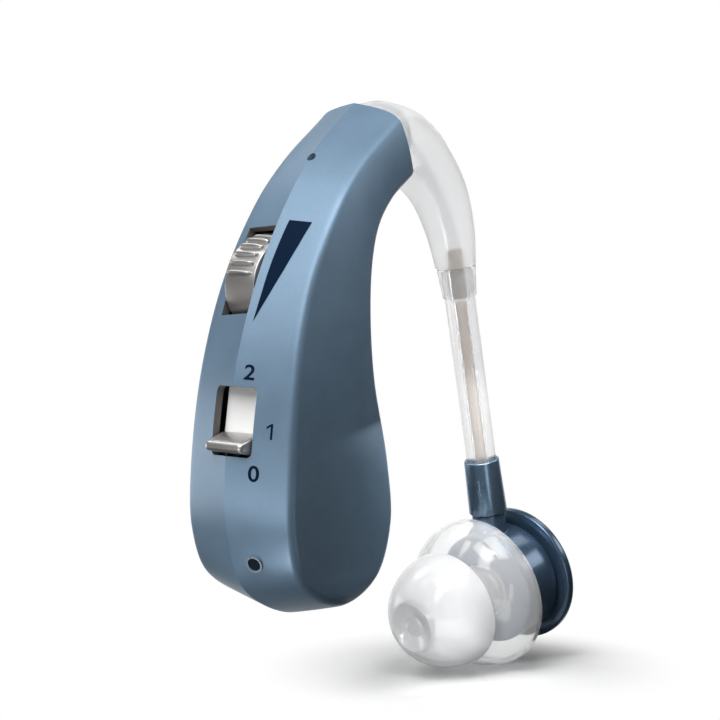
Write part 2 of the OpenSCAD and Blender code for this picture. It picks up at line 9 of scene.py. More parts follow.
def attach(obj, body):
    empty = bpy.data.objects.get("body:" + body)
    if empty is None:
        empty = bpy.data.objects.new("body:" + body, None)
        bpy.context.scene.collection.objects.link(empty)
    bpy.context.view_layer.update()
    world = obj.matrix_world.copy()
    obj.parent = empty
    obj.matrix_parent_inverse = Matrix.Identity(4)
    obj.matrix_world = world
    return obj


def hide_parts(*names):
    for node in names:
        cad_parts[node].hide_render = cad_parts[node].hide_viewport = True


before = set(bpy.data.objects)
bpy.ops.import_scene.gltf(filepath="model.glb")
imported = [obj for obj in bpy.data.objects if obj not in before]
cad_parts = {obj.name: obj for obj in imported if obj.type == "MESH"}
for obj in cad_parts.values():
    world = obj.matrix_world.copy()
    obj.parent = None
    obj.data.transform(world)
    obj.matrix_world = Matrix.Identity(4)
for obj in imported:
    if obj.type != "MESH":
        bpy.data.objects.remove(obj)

bl_info = {
    "name": "Behind-the-ear hearing aid",
    "version": (1, 0, 0),
    "blender": (4, 5, 0),
    "location": "View3D > Sidebar > Hearing aid",
    "description": "Builds the lacquered housing, controls, hook, tube and ear piece",
    "category": "Object",
}

MM = 0.001

# Outline of the housing in its middle plane, in millimetres: x, z, half width, crown, roundness
RIM = (
    (-4.5, 53.3, 4.8, 1.7, 0.6), (-9.4, 49.3, 4.9, 1.2, 0.12), (-13.4, 44.4, 5.2, 1.05, 0),
    (-17.1, 37.7, 5.5, 1.1, 0), (-19.7, 30.1, 5.9, 1.5, 0), (-20.9, 22.2, 6.2, 1.75, 0),
    (-20.6, 15.9, 6.2, 1.5, 0), (-18.3, 11, 6, 1.4, 0), (-12.2, 8.5, 6, 1.5, 0.3),
    (-6.6, 10.7, 5.7, 1.9, 0.9), (-4.1, 16, 5.5, 2, 1), (-4.6, 22.2, 5.5, 2, 1),
    (-6.1, 29.6, 5.3, 2, 1), (-6.2, 36.4, 5, 2, 1), (-5.2, 41.2, 4.7, 2, 1),
    (-3.2, 44, 4.4, 1.9, 1), (-0.6, 46, 4.3, 1.8, 1),
)
RIM_LAST = len(RIM) - 1

# Hook rows between joint and tube: upper edge x, z, lower edge x, z, half width
HOOK_ROWS = (
    (-0.3, 53.5, 0.3, 46.6, 4.2), (4.3, 51.7, 1.5, 46.2, 3.5), (7.2, 49.3, 3.5, 45.1, 3),
    (9.5, 46.4, 5.1, 43.6, 2.65), (11, 42.7, 6.6, 41.1, 2.3),
)
HOOK_INSET = 0.15
HOOK_END_D = 3.84
HOOK_BORE = 1.1
NIPPLE_IN = 1.6

# Openings: where they are along the outline, then their sizes and places in millimetres
MIC_AT, WHEEL_AT, SWITCH_AT, LENS_AT = 1.17, 2.82, 4.5, 6.4
MIC_BORE, LENS_BORE, SOCKET_BORE = 0.9, 1.5, 4
LENS_Y, LENS_TURN = -2.2, 13
SOCKET_MOUTH = (-12, 5.85, 28)
WHEEL_OPENING = (-4.15, -1, 4.15, 3.85)
SLOT = (-3, -2.4, 3, 2.4)
SLOT_ROUND = 0.5
WALL_SLOPE = 0.5
MARK_LIFT = 0.012

# Wheel and switch
AXLE_R = 0.64
HUB_R, HUB_DEPTH = 1.6, 0.95
FIRST_RIB = -99
RIB_BACK, RIB_L, RIB_H, RIB_HALF_W = 0.45, 2.75, 0.5, 0.25
TAB_REST, TAB_SIDE = -1.85, 2.25
SHUTTER_TOP, SHUTTER_FLOOR, STEM_FLOOR = -2, -2.4, -3.3

# Tube and ear piece
TUBE_TOP = (9.7, 38.4)
TUBE_LEAN = 11.8
TUBE_L = 19
SLEEVE_IN, SLEEVE_L = 1.2, 5.2
SPIGOT_R, STEM_R, STEM_L = 1.15, 1.6, 2.6
EAR_DROP = 31.45
EAR_TILT = 12
DOME_T, LARGE_RIM, SMALL_RIM = 0.45, 2.5, 7.4

# Lamps: name, direction, distance in metres, width, height, power, slide, aim in millimetres
MIDDLE, HEEL, DOMES = (0, 0, 27), (-17, -4, 10), (7, -2, 7)
KEY, PANES = (-0.69, -0.02, 0.72), (-0.1, -0.3, 0.95)
LAMPS = (
    ("key", KEY, 0.15, 0.11, 0.12, 0.178, 0.022, MIDDLE),
    ("key_bar", KEY, 0.15, 0.03, 0.12, 0.055, -0.058, MIDDLE),
    ("left", (-0.978, 0, -0.207), 0.1206, 0.08, 0.02, 0.05, 0, MIDDLE),
    ("low", (-0.3, 0.93, -0.1), 0.09, 0.05, 0.03, 0.012, 0, MIDDLE),
    ("ridge", (-0.06, 0.67, 0.73), 0.2, 0.06, 0.06, 0.05, 0, MIDDLE),
    ("flank", (-0.04, -0.57, 0.82), 0.0453, 0.02, 0.02, 0.0022, 0, MIDDLE),
    ("edge", (-0.4, -0.46, 0.79), 0.0454, 0.02, 0.01, 0.0042, 0, MIDDLE),
    ("crest", (0.6, -0.05, 0.8), 0.2, 0.06, 0.12, 0.04, 0, MIDDLE),
    ("drum", (0.73, -0.57, 0.38), 0.125, 0.04, 0.04, 0.016, 0, MIDDLE),
    ("sleeve", (-0.13, -0.86, -0.49), 0.046, 0.006, 0.03, 0.0013, 0, MIDDLE),
    ("under", (-0.89, 0.06, -0.45), 0.018, 0.006, 0.006, 0.0014, 0, HEEL),
    ("window", PANES, 0.02, 0.0075, 0.013, 0.0012, -0.0055, DOMES),
    ("window", PANES, 0.02, 0.0075, 0.013, 0.0012, 0.004, DOMES),
    ("bounce", (-0.41, -0.62, -0.67), 0.0097, 0.012, 0.012, 0.0009, 0, DOMES),
)


def colour_setting(name, description, default):
    return FloatVectorProperty(name=name, description=description, subtype="COLOR", size=3,
                               default=default)


def length_setting(name, description, millimetres):
    return FloatProperty(name=name, description=description, unit="LENGTH",
                         default=millimetres * MM)


class HousingSettings(bpy.types.PropertyGroup):
    lacquer: colour_setting("Lacquer", "Colour of the housing's lacquer", (0.155, 0.240, 0.335))
    mark_blue: colour_setting("Marks", "Colour of the printed marks", (0.005, 0.014, 0.033))
    wall: length_setting("Wall", "Wall of the two shells", 0.8)
    edge_round: length_setting("Edge round", "Round on the long edges", 0.7)
    flank_bulge: length_setting("Flank bulge", "Bulge in the middle of a flank", 0.25)
    stations: IntProperty(name="Stations", description="Mesh rows for each row of the outline",
                          default=12, min=4)


class ControlSettings(bpy.types.PropertyGroup):
    silver: colour_setting("Silver", "Colour of the wheel and the tab", (0.56, 0.55, 0.54))
    shutter: colour_setting("Shutter", "Colour of the switch's shutter", (0.93, 0.93, 0.92))
    wheel_d: length_setting("Wheel", "Diameter of the wheel over its ribs", 9)
    wheel_w: length_setting("Wheel width", "Width of the wheel along its axle", 3.55)
    rib_count: IntProperty(name="Ribs", description="Number of ribs on the wheel", default=22)
    rib_pitch: FloatProperty(name="Rib pitch", description="Angle from rib to rib",
                             subtype="ANGLE", default=math.radians(12.6))


class HookSettings(bpy.types.PropertyGroup):
    milk: colour_setting("Hook", "Colour of the milky hook", (0.94, 0.945, 0.95))
    clear: colour_setting("Tube", "Colour of the clear sound tube", (0.97, 0.97, 0.97))
    tube_d: length_setting("Tube diameter", "Outer diameter of the sound tube", 2.85)
    tube_bore: length_setting("Tube bore", "Bore of the sound tube", 1.35)
    lumen: length_setting("Lumen", "Bore of the tube below the nipple", 1)


class EarPieceSettings(bpy.types.PropertyGroup):
    gloss_blue: colour_setting("Ear piece", "Colour of the ear piece", (0.085, 0.145, 0.225))
    silicone: colour_setting("Silicone", "Colour of the ear tip", (0.97, 0.975, 0.98))
    chamber_d: length_setting("Chamber", "Diameter of the sound chamber", 10.7)
    cap_d: length_setting("Cap", "Diameter of the rear cap", 13)
    large_dome_d: length_setting("Large dome", "Diameter of the large dome", 14.5)
    small_dome_d: length_setting("Small dome", "Diameter of the small dome", 11)


class StageSettings(bpy.types.PropertyGroup):
    floor: colour_setting("Floor", "Colour of the pale floor", (0.92, 0.92, 0.92))
    fill: FloatProperty(name="Fill", description="Light from all round", default=0.03, min=0)
    surround: FloatProperty(name="Surround", description="What reflections see beside the backdrop",
                            default=0.03, min=0)
    haze: FloatProperty(name="Haze", description="What glass sees beside the backdrop",
                        default=0.55, min=0)
    floor_glow: FloatProperty(name="Floor glow", description="White of the floor in view",
                              default=0.04, min=0)
    view_angle: FloatProperty(name="View", description="Camera's angle round the object",
                              subtype="ANGLE", default=math.radians(-48))
    view_height: FloatProperty(name="Height", description="Camera's angle above the horizon",
                               subtype="ANGLE", default=math.radians(4.5))
    view_distance: length_setting("Distance", "Camera to the housing", 230.5)


# Curves of the housing, as in the part's source

def smooth(rows, t):
    """The row at t on the curve that runs through the rows."""
    last = len(rows) - 1
    i = min(int(math.floor(t)), last - 1)
    f = t - i
    b, c = rows[i], rows[i + 1]
    a = rows[i - 1] if i > 0 else [2 * p - q for p, q in zip(b, c)]
    d = rows[i + 2] if i + 2 <= last else [2 * q - p for p, q in zip(b, c)]
    return [0.5 * (2 * q + (r - p) * f + (2 * p - 5 * q + 4 * r - s) * f * f
                   + (3 * q - p - 3 * r + s) * f ** 3) for p, q, r, s in zip(a, b, c, d)]


def flat_unit(x, z):
    size = math.hypot(x, z)
    return Vector((x / size, 0, z / size))


CHORD = flat_unit(RIM[-1][0] - RIM[0][0], RIM[-1][1] - RIM[0][1])


def rim_inward(t):
    """Unit vector from the outline inward, which turns to the hook joint's chord at the ends."""
    a, b = smooth(RIM, max(t - 0.05, 0)), smooth(RIM, min(t + 0.05, RIM_LAST))
    along = flat_unit(b[0] - a[0], b[1] - a[1])
    own = Vector((-along.z, 0, along.x))
    share = max(0, 1 - t, 1 - (RIM_LAST - t))
    chord = CHORD if t < RIM_LAST / 2 else -CHORD
    return (own * (1 - share) + chord * share).normalized()


def profile(row, j, inset, edge):
    """Depth under the outline and distance from the middle plane, for j from 0 to 5."""
    width = row[2] - inset
    crown = row[3] * width / row[2]
    start = (crown * (1 - edge / width), width - edge)
    if j < 2:
        ridge = (start[0] * j / 2, start[1] * j / 2)
    else:
        f = (j - 2) / 3
        g = 1 - f
        ridge = (g * g * start[0] + 2 * f * g * crown + f * f * (crown + edge),
                 g * g * start[1] + 2 * f * g * width + f * f * width)
    turn = math.radians(18 * j)
    rounded = (crown * (1 - math.cos(turn)), width * math.sin(turn))
    k = row[4]
    return (ridge[0] * (1 - k) + rounded[0] * k + inset, ridge[1] * (1 - k) + rounded[1] * k)


def rim_point(t, j, inset, edge):
    """A point of a shell's skin in millimetres: t along the outline, j from the spine outward."""
    row = smooth(RIM, t)
    depth, side = profile(row, j, inset, edge * (1 + max(0, 1 - t / 1.7)))
    inward = rim_inward(t)
    return Vector((row[0] + inward.x * depth, side, row[1] + inward.z * depth))


def facet_point(t, y):
    """A point of a print on the spine's flat facets, y from the ridge."""
    row = smooth(RIM, t)
    inward = rim_inward(t)
    depth = row[3] * abs(y) / row[2] - MARK_LIFT
    return Vector((row[0] + inward.x * depth, y, row[1] + inward.z * depth)) * MM


# Places on the aid: each gives the matrix of a local frame in metres

def place(x, z, turn):
    return Matrix.Translation(Vector((x, 0, z)) * MM) @ Matrix.Rotation(turn, 4, "Y")


def on_rim(t):
    row = smooth(RIM, t)
    inward = rim_inward(t)
    return place(row[0], row[1], math.atan2(-inward.x, -inward.z))


def on_joint():
    return place((RIM[0][0] + RIM[-1][0]) / 2, (RIM[0][1] + RIM[-1][1]) / 2,
                 math.atan2(-CHORD.z, CHORD.x))


def on_tube(s):
    lean = math.radians(TUBE_LEAN)
    return place(TUBE_TOP[0] + math.sin(lean) * s, TUBE_TOP[1] - math.cos(lean) * s,
                 math.pi - lean)


def on_ear():
    lean = math.radians(TUBE_LEAN)
    return place(TUBE_TOP[0] + math.sin(lean) * EAR_DROP, TUBE_TOP[1] - math.cos(lean) * EAR_DROP,
                 math.radians(-90 - EAR_TILT))


def shifted(matrix, x=0.0, y=0.0, z=0.0):
    return matrix @ Matrix.Translation(Vector((x, y, z)) * MM)


# Mesh makers

def mesh_piece(name, points, faces, sharp=35):
    """A piece from points in metres, smooth but for the edges sharper than the angle given."""
    mesh = bpy.data.meshes.new(name)
    mesh.from_pydata(points, [], faces)
    mesh.validate()
    piece = bpy.data.objects.new(name, mesh)
    bpy.context.scene.collection.objects.link(piece)
    tidy(piece, sharp)
    return piece


def tidy(piece, sharp=35):
    """Welds a piece, turns its normals outward and marks the edges above the angle as sharp."""
    weld = 1e-7
    work = bmesh.new()
    work.from_mesh(piece.data)
    bmesh.ops.remove_doubles(work, verts=work.verts, dist=weld)
    bmesh.ops.dissolve_degenerate(work, edges=work.edges, dist=weld)
    bmesh.ops.recalc_face_normals(work, faces=work.faces)
    limit = math.radians(sharp)
    for face in work.faces:
        face.smooth = True
    for edge in work.edges:
        edge.smooth = len(edge.link_faces) == 2 and edge.calc_face_angle(0) < limit
    work.to_mesh(piece.data)
    work.free()
    piece.data.update()


def filleted(corners, steps=6):
    """A closed outline from corners (x, y, round): each corner is rounded by its third value."""
    outline = []
    count = len(corners)
    for i in range(count):
        x, y, radius = corners[i]
        here = Vector((x, y))
        before = Vector(corners[i - 1][:2]) - here
        after = Vector(corners[(i + 1) % count][:2]) - here
        if radius <= 0 or before.length < 1e-9 or after.length < 1e-9:
            outline.append((x, y))
            continue
        u, v = before.normalized(), after.normalized()
        half = math.acos(max(-1, min(1, u.dot(v)))) / 2
        reach = min(radius / math.tan(half), before.length / 2.05, after.length / 2.05)
        size = reach * math.tan(half)
        centre = here + (u + v).normalized() * (size / math.sin(half))
        first, last = here + u * reach - centre, here + v * reach - centre
        sweep = math.atan2(first.x * last.y - first.y * last.x, first.dot(last))
        for k in range(steps + 1):
            turn = sweep * k / steps
            c, s = math.cos(turn), math.sin(turn)
            outline.append((centre.x + first.x * c - first.y * s,
                            centre.y + first.x * s + first.y * c))
    return outline


def rectangle(left, low, right, high, radius=0, steps=6):
    return filleted([(left, low, radius), (right, low, radius), (right, high, radius),
                     (left, high, radius)], steps)


def circle(diameter, count=48):
    return [(diameter / 2 * math.cos(2 * math.pi * k / count),
             diameter / 2 * math.sin(2 * math.pi * k / count)) for k in range(count)]


def lathe(name, outline, matrix, turns=128, sharp=35):
    """Revolves a closed outline of (radius, height) in millimetres about the frame's z."""
    points, rings = [], []
    for radius, height in outline:
        if radius < 1e-6:
            rings.append([len(points)] * turns)
            points.append(matrix @ Vector((0, 0, height * MM)))
            continue
        rings.append(list(range(len(points), len(points) + turns)))
        for k in range(turns):
            a = 2 * math.pi * k / turns
            points.append(matrix @ (Vector((radius * math.cos(a), radius * math.sin(a), height)) * MM))
    faces = []
    for i in range(len(rings)):
        a, b = rings[i], rings[(i + 1) % len(rings)]
        for k in range(turns):
            n = (k + 1) % turns
            loop = []
            for index in (a[k], a[n], b[n], b[k]):
                if index not in loop:
                    loop.append(index)
            if len(loop) > 2:
                faces.append(loop)
    return mesh_piece(name, points, faces, sharp)


def loft(name, rings, closed_ends=True, sharp=35):
    """Joins rings of equally many points; the ends are capped or left open."""
    count = len(rings[0])
    points = [p for ring in rings for p in ring]
    faces = []
    for i in range(len(rings) - 1):
        for k in range(count):
            n = (k + 1) % count
            faces.append((i * count + k, i * count + n, (i + 1) * count + n, (i + 1) * count + k))
    if closed_ends:
        faces.append(tuple(range(count)))
        faces.append(tuple(range((len(rings) - 1) * count, len(rings) * count)))
    return mesh_piece(name, points, faces, sharp)


def prism(matrix, outline, low, high):
    """A straight piece with an outline in millimetres in the frame's x and y."""
    rings = [[matrix @ (Vector((x, y, h)) * MM) for x, y in outline] for h in (low, high)]
    return loft("prism", rings)


def bead(name, path, radius, sides=10):
    """A thin round line along a closed path of points in metres; radius in millimetres."""
    rings = []
    for i, spot in enumerate(path):
        along = (path[(i + 1) % len(path)] - path[i - 1]).normalized()
        side = along.cross(Vector((0.31, 0.17, 0.93))).normalized()
        rise = along.cross(side)
        rings.append([spot + (side * math.cos(2 * math.pi * k / sides)
                              + rise * math.sin(2 * math.pi * k / sides)) * radius * MM
                      for k in range(sides)])
    return loft(name, rings + [rings[0]], closed_ends=False, sharp=60)


def cut(piece, tools):
    """Cuts the tools out of the piece for good and removes them."""
    for tool in tools:
        modifier = piece.modifiers.new("cut", "BOOLEAN")
        modifier.operation = "DIFFERENCE"
        modifier.solver = "EXACT"
        modifier.object = tool
    settle(piece)
    for tool in tools:
        bpy.data.objects.remove(tool)
    tidy(piece)


def settle(piece):
    """Turns the modifiers' result into the piece's own mesh."""
    bpy.context.view_layer.update()
    seen = piece.evaluated_get(bpy.context.evaluated_depsgraph_get())
    mesh = bpy.data.meshes.new_from_object(seen)
    piece.modifiers.clear()
    piece.data = mesh


def piece_from(name, work):
    """Makes a piece of a bmesh and frees the bmesh."""
    mesh = bpy.data.meshes.new(name)
    work.to_mesh(mesh)
    work.free()
    piece = bpy.data.objects.new(name, mesh)
    bpy.context.scene.collection.objects.link(piece)
    return piece


def join(name, pieces):
    """Makes one piece of several, which keep their places."""
    work = bmesh.new()
    for piece in pieces:
        work.from_mesh(piece.data)
        bpy.data.objects.remove(piece)
    return piece_from(name, work)


def dress(piece, material, body, slot, *nodes):
    """Gives a piece its material and the body it moves with, and hides the solids it replaces; the
    slot is not used.
    """
    piece.data.materials.clear()
    piece.data.materials.append(material)
    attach(piece, body)
    if nodes:
        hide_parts(*nodes)


# Shader groups for what several finishes share

def new_group(name, inputs, outputs):
    group = bpy.data.node_groups.new(name, "ShaderNodeTree")
    for label, kind, value in inputs:
        socket = group.interface.new_socket(name=label, in_out="INPUT", socket_type=kind)
        socket.default_value = value
    for label, kind in outputs:
        group.interface.new_socket(name=label, in_out="OUTPUT", socket_type=kind)
    nodes = group.nodes
    return group, nodes.new("NodeGroupInput"), nodes.new("NodeGroupOutput")


def feed(tree, node, values):
    """Sets a node's inputs by name or number, each to a constant or linked to a socket."""
    for key, value in values.items():
        if isinstance(value, bpy.types.NodeSocket):
            tree.links.new(value, node.inputs[key])
        else:
            node.inputs[key].default_value = value


def noise_node(tree, scale, detail):
    spot = tree.nodes.new("ShaderNodeTexCoord")
    noise = tree.nodes.new("ShaderNodeTexNoise")
    feed(tree, noise, {"Vector": spot.outputs["Object"], "Scale": scale, "Detail": detail,
                       "Roughness": 0.55})
    return noise.outputs["Fac"]


def mix_colour(tree, factor, a, b, blend="MIX"):
    mix = tree.nodes.new("ShaderNodeMix")
    mix.data_type = "RGBA"
    mix.blend_type = blend
    feed(tree, mix, {0: factor, 6: a, 7: b})
    return mix.outputs[2]


def mix_value(tree, factor, a, b):
    mix = tree.nodes.new("ShaderNodeMix")
    mix.data_type = "FLOAT"
    feed(tree, mix, {0: factor, 2: a, 3: b})
    return mix.outputs[0]


def math_node(tree, operation, a, b, clamp=False):
    node = tree.nodes.new("ShaderNodeMath")
    node.operation = operation
    node.use_clamp = clamp
    feed(tree, node, {0: a, 1: b})
    return node.outputs[0]


def measure(tree, operation, a, b):
    """The dot product or the distance of two vectors."""
    node = tree.nodes.new("ShaderNodeVectorMath")
    node.operation = operation
    feed(tree, node, {0: a, 1: b})
    return node.outputs["Value"]


def smooth_ramp(tree, value, start, end, low=0.0):
    """Rises smoothly from low at start to 1 at end."""
    node = tree.nodes.new("ShaderNodeMapRange")
    node.interpolation_type = "SMOOTHSTEP"
    feed(tree, node, {"Value": value, "From Min": start, "From Max": end, "To Min": low})
    return node.outputs["Result"]


def grain_group():
    """Fine grain: colour mottled by a fine and a broad noise, with roughness and height to match."""
    if "Fine grain" in bpy.data.node_groups:
        return bpy.data.node_groups["Fine grain"]
    group, given, out = new_group("Fine grain", (
        ("Colour", "NodeSocketColor", (0.5, 0.5, 0.5, 1)), ("Scale", "NodeSocketFloat", 9000.0),
        ("Mottle", "NodeSocketFloat", 0.08), ("Roughness", "NodeSocketFloat", 0.4),
        ("Roughness spread", "NodeSocketFloat", 0.06)),
        (("Colour", "NodeSocketColor"), ("Roughness", "NodeSocketFloat"),
         ("Height", "NodeSocketFloat")))
    fine = noise_node(group, given.outputs["Scale"], 2.0)
    broad = noise_node(group, 420.0, 3.0)
    swing = math_node(group, "SUBTRACT", math_node(group, "ADD", fine, broad), 1.0)
    light = math_node(group, "MULTIPLY", swing, given.outputs["Mottle"])
    level = math_node(group, "ADD", light, 1.0)
    grey = group.nodes.new("ShaderNodeCombineColor")
    feed(group, grey, {"Red": level, "Green": level, "Blue": level})
    tone = mix_colour(group, 1.0, given.outputs["Colour"], grey.outputs["Color"], "MULTIPLY")
    spread = math_node(group, "MULTIPLY", swing, given.outputs["Roughness spread"])
    rough = math_node(group, "ADD", spread, given.outputs["Roughness"], clamp=True)
    feed(group, out, {"Colour": tone, "Roughness": rough, "Height": fine})
    return group


def finish(name, colour, rough, mottle=0.06, scale=9000.0, bump=0.02, spread=0.05, **sockets):
    """A material with the shared grain; further sockets of the shader are given by name."""
    found = bpy.data.materials.get(name)
    if found:
        return found
    material = bpy.data.materials.new(name)
    material.use_nodes = True
    tree = material.node_tree
    shader = tree.nodes["Principled BSDF"]
    grain = tree.nodes.new("ShaderNodeGroup")
    grain.node_tree = grain_group()
    feed(tree, grain, {"Colour": (*colour[:3], 1), "Scale": scale, "Mottle": mottle,
                       "Roughness": rough, "Roughness spread": spread})
    feed(tree, shader, {"Base Color": grain.outputs["Colour"],
                        "Roughness": grain.outputs["Roughness"]})
    if bump > 0:
        relief = tree.nodes.new("ShaderNodeBump")
        feed(tree, relief, {"Strength": bump, "Distance": 0.02 * MM,
                            "Height": grain.outputs["Height"]})
        tree.links.new(relief.outputs["Normal"], shader.inputs["Normal"])
    feed(tree, shader, {label.replace("_", " "): value for label, value in sockets.items()})
    return material


def recolour(node, material):
    """Gives a solid that stays in view its finish and smooth faces between sharp edges."""
    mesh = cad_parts[node].data
    mesh.materials.clear()
    mesh.materials.append(material)
    for polygon in mesh.polygons:
        polygon.use_smooth = True
    work = bmesh.new()
    work.from_mesh(mesh)
    bends = {e.index for e in work.edges
             if len(e.link_faces) != 2 or e.calc_face_angle(0) > math.radians(35)}
    work.free()
    for edge in mesh.edges:
        edge.use_edge_sharp = edge.index in bends


def lacquer():
    return finish("blue_lacquer", bpy.context.scene.aid_housing.lacquer, 0.38, mottle=0.20,
                  scale=6500.0, bump=0.04, spread=0.10, Metallic=0.30, IOR=1.4)


def shell(name, side, wall, edge, bulge, steps):
    """One half of the housing as a thin smooth shell, side -1 right or 1 left."""
    cols, flank_cols = 15, 14
    n = RIM_LAST * steps
    points, outer, flank = [], {}, {}
    for skin, inset in enumerate((0.0, wall)):
        for i in range(n + 1):
            for k in range(cols + 1):
                outer[skin, i, k] = len(points)
                points.append(rim_point(i / steps, 5 * k / cols, inset, edge))
        for i in range(n // 2):
            a = rim_point(i / steps, 5, inset, edge)
            b = rim_point((n - i) / steps, 5, inset, edge)
            reach = min(1, (b - a).length / 8)
            for k in range(1, flank_cols):
                f = k / flank_cols
                flank[skin, i, k] = len(points)
                points.append(a.lerp(b, f) + Vector((0, bulge * reach * 4 * f * (1 - f), 0)))

    def row(skin, i, k):
        if k == 0:
            return outer[skin, i, cols]
        if k == flank_cols:
            return outer[skin, n - i, cols]
        return flank[skin, i, k]

    faces = []
    for skin in (0, 1):
        for i in range(n):
            for k in range(cols):
                faces.append((outer[skin, i, k], outer[skin, i, k + 1],
                              outer[skin, i + 1, k + 1], outer[skin, i + 1, k]))
        for i in range(n // 2 - 1):
            for k in range(flank_cols):
                faces.append((row(skin, i, k), row(skin, i, k + 1),
                              row(skin, i + 1, k + 1), row(skin, i + 1, k)))
        for k in range(flank_cols):
            faces.append((row(skin, n // 2 - 1, k), row(skin, n // 2 - 1, k + 1),
                          outer[skin, n // 2, cols]))
    for i in range(n):
        faces.append((outer[0, i, 0], outer[0, i + 1, 0], outer[1, i + 1, 0], outer[1, i, 0]))
    loops = [[outer[skin, 0, k] for k in range(cols + 1)]
             + [flank[skin, 0, k] for k in range(1, flank_cols)]
             + [outer[skin, n, k] for k in range(cols, -1, -1)] for skin in (0, 1)]
    for i in range(len(loops[0]) - 1):
        faces.append((loops[0][i], loops[0][i + 1], loops[1][i + 1], loops[1][i]))
    return mesh_piece(name, [Vector((p.x, p.y * side, p.z)) * MM for p in points], faces)


def lens_frame():
    return (shifted(on_rim(LENS_AT), y=LENS_Y, z=-0.5)
            @ Matrix.Rotation(math.radians(LENS_TURN), 4, "X"))


def paint_recess_shade(piece):
    """Paints shade on the walls of the wheel opening and the switch slot: a dark grey stands in for
    the shade inside these recesses.
    """
    # Dark grey painted shade for the walls inside the openings
    piece.data.materials.append(finish("recess_painted_shade", (0.13, 0.125, 0.12), 0.5, mottle=0.1))
    openings = ((on_rim(WHEEL_AT).inverted(), (-4.2, -0.1, -1.6), (4.2, 3.9, 0.4)),
                (on_rim(SWITCH_AT).inverted(), (-3.05, -2.45, -2.2), (3.05, 2.45, 0.4)))
    for polygon in piece.data.polygons:
        for inward, low, high in openings:
            spot = inward @ polygon.center / MM
            inside = all(a < p < b for a, p, b in zip(low, spot, high))
            slope = abs((inward.to_3x3() @ polygon.normal).normalized().z)
            if inside and slope < WALL_SLOPE:
                # The steep walls inside an opening take the painted shade
                polygon.material_index = 1


class HEARING_AID_OT_housing(bpy.types.Operator):
    """Builds the two lacquered shells with their openings"""
    bl_idname = "hearing_aid.housing"
    bl_label = "Housing shells"

    def execute(self, context):
        settings = context.scene.aid_housing
        wall, edge, bulge = (settings.wall / MM, settings.edge_round / MM,
                             settings.flank_bulge / MM)
        socket = (Matrix.Translation(Vector(SOCKET_MOUTH) * MM)
                  @ Matrix.Rotation(math.radians(-90), 4, "X"))
        for name, side, node in (("housing_right", -1, "shell_right"),
                                 ("housing_left", 1, "shell_left")):
            piece = shell(name, side, wall, edge, bulge, settings.stations)
            tools = [prism(on_rim(MIC_AT), circle(MIC_BORE), -2, 2),
                     prism(on_rim(SWITCH_AT), rectangle(*SLOT, SLOT_ROUND), -2, 2)]
            if side < 0:
                tools.append(prism(lens_frame(), circle(LENS_BORE), -2.5, 3.5))
            else:
                tools.append(prism(on_rim(WHEEL_AT), rectangle(*WHEEL_OPENING), -3, 3))
                tools.append(prism(socket, circle(SOCKET_BORE), -2, 2))
            cut(piece, tools)
            dress(piece, lacquer(), "housing", "housing", node)
            # Paint shade on the walls of the wheel opening and the switch slot
            paint_recess_shade(piece)
        return {"FINISHED"}


def printed_ink():
    return finish("navy_print", bpy.context.scene.aid_housing.mark_blue, 0.55, mottle=0.05,
                  bump=0.0, IOR=1.05)


def surface_mark(name, outline):
    """A thin printed patch from an outline of (t, y) on the spine's facet."""
    work = bmesh.new()
    work.faces.new([work.verts.new((t, y, 0)) for t, y in outline])
    bmesh.ops.triangulate(work, faces=work.faces)
    bmesh.ops.subdivide_edges(work, edges=work.edges, cuts=5, use_grid_fill=True)
    for vert in work.verts:
        vert.co = facet_point(vert.co.x, vert.co.y)
    piece = piece_from(name, work)
    tidy(piece, 60)
    return piece


def number_mark(name, text, start_t, start_y, height, width):
    """A number on the near facet: its baseline starts at (t, y), sizes in millimetres."""
    font = bpy.data.curves.new(name, "FONT")
    font.body = text
    font.offset = 0.018
    carrier = bpy.data.objects.new(name + "_curve", font)
    bpy.context.scene.collection.objects.link(carrier)
    bpy.context.view_layer.update()
    flat = bpy.data.meshes.new_from_object(
        carrier.evaluated_get(bpy.context.evaluated_depsgraph_get()))
    bpy.data.objects.remove(carrier)
    xs = [v.co.x for v in flat.vertices]
    ys = [v.co.y for v in flat.vertices]
    scale_x, scale_y = width / (max(xs) - min(xs)), height / (max(ys) - min(ys))
    work = bmesh.new()
    work.from_mesh(flat)
    bmesh.ops.triangulate(work, faces=work.faces)
    row, ahead = smooth(RIM, start_t), smooth(RIM, start_t + 0.1)
    per_mm = 0.1 / math.hypot(ahead[0] - row[0], ahead[1] - row[1])
    for vert in work.verts:
        right, up = (vert.co.x - min(xs)) * scale_x, (vert.co.y - min(ys)) * scale_y
        vert.co = facet_point(start_t - up * per_mm, start_y - right)
    piece = piece_from(name, work)
    tidy(piece, 60)
    return piece


class HEARING_AID_OT_marks(bpy.types.Operator):
    """Prints the volume wedge and the switch positions on the near facet"""
    bl_idname = "hearing_aid.marks"
    bl_label = "Printed marks"

    def execute(self, context):
        height, width = 1.36, 1.04
        right = [(2.186, -3.37), (2.50, -2.93), (2.808, -2.37), (3.09, -1.70), (3.28, -1.18)]
        left = [(3.437, -0.745), (3.16, -0.85), (2.77, -0.89), (2.45, -0.97), (2.199, -1.07)]
        wedge = surface_mark("volume_wedge", right + left)
        two = number_mark("mark_two", "2", 4.055, -0.90, height, width)
        one = surface_mark("mark_one", [
            (4.658, -4.02), (4.658, -4.22), (4.488, -4.22), (4.488, -4.06), (4.523, -3.62),
            (4.546, -3.62), (4.518, -4.02)])
        zero = number_mark("mark_zero", "0", 5.165, -2.17, height, width)
        for piece in (wedge, two, one, zero):
            dress(piece, printed_ink(), "housing", "housing")
        return {"FINISHED"}


def silver_paint():
    return finish("silver_paint", bpy.context.scene.aid_controls.silver, 0.36, mottle=0.04,
                  scale=12000.0, bump=0.0, spread=0.03, Metallic=0.85, IOR=1.5)


